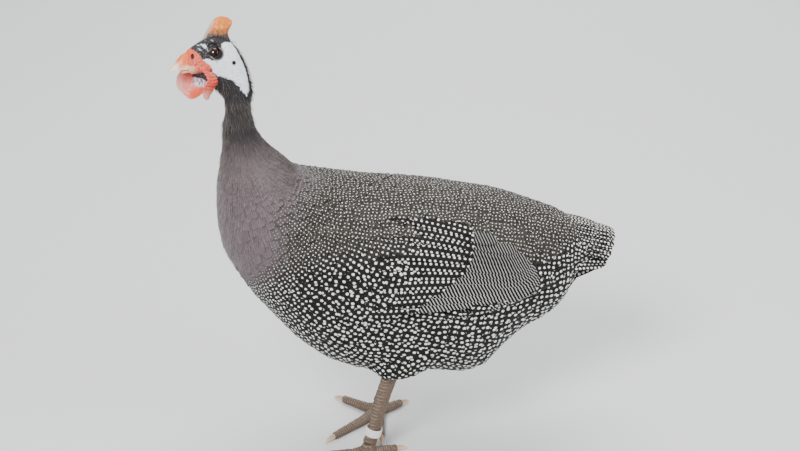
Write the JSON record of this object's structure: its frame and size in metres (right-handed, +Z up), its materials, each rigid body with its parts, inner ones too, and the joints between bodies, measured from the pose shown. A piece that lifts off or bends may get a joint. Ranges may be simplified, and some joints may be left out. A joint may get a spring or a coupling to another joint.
{
  "type": "helmeted guinea fowl model",
  "caption": "Life-size still model of a pearl-grey helmeted guinea fowl cock standing with its head turned slightly, with overlapping wing and tail feathers, casque and wattles.",
  "frame": {"origin": "middle of the bounding box on the floor, below the body", "axes": "+Z up, the bird faces -X, its left side is towards -Y"},
  "size_m": [0.398, 0.168, 0.4316],
  "materials": {
    "body_plumage": "matte, dark grey with small round white spots",
    "neck_plumage": "matte, purplish grey, hair-like",
    "wing_plumage": "satin, dark grey with pale spots and fine bars",
    "tail_plumage": "satin, grey-brown with small pale spots",
    "thigh_plumage": "matte, dark grey with white spots",
    "head_skin": "matte bare skin, bluish white, black on the crown",
    "casque_horn": "dull orange-brown horn",
    "bill_horn": "orange-red horn, paler at the tip",
    "wattle_skin": "folded red skin",
    "eye": "glossy, dark brown",
    "leg_scales": "grey-brown horny scutes",
    "claw_horn": "pale horn",
    "ring_plastic": "plain white band"
  },
  "bodies": {
    "root": {"bill_lower": "bill_horn", "bill_upper": "bill_horn", "casque": "casque_horn", "claw_hind_left": "claw_horn", "claw_hind_right": "claw_horn", "claw_inner_left": "claw_horn", "claw_inner_right": "claw_horn", "claw_middle_left": "claw_horn", "claw_middle_right": "claw_horn", "claw_outer_left": "claw_horn", "claw_outer_right": "claw_horn", "eye_left": "eye", "eye_right": "eye", "foot_left": "leg_scales", "foot_right": "leg_scales", "head": "head_skin", "leg_ring": "ring_plastic", "neck": "neck_plumage", "shank_left": "leg_scales", "shank_right": "leg_scales", "tail": "tail_plumage", "thigh_left": "thigh_plumage", "thigh_right": "thigh_plumage", "torso": "body_plumage", "wattle_left": "wattle_skin", "wattle_right": "wattle_skin", "wing_left": "wing_plumage", "wing_right": "wing_plumage"}
  },
  "joints": []
}
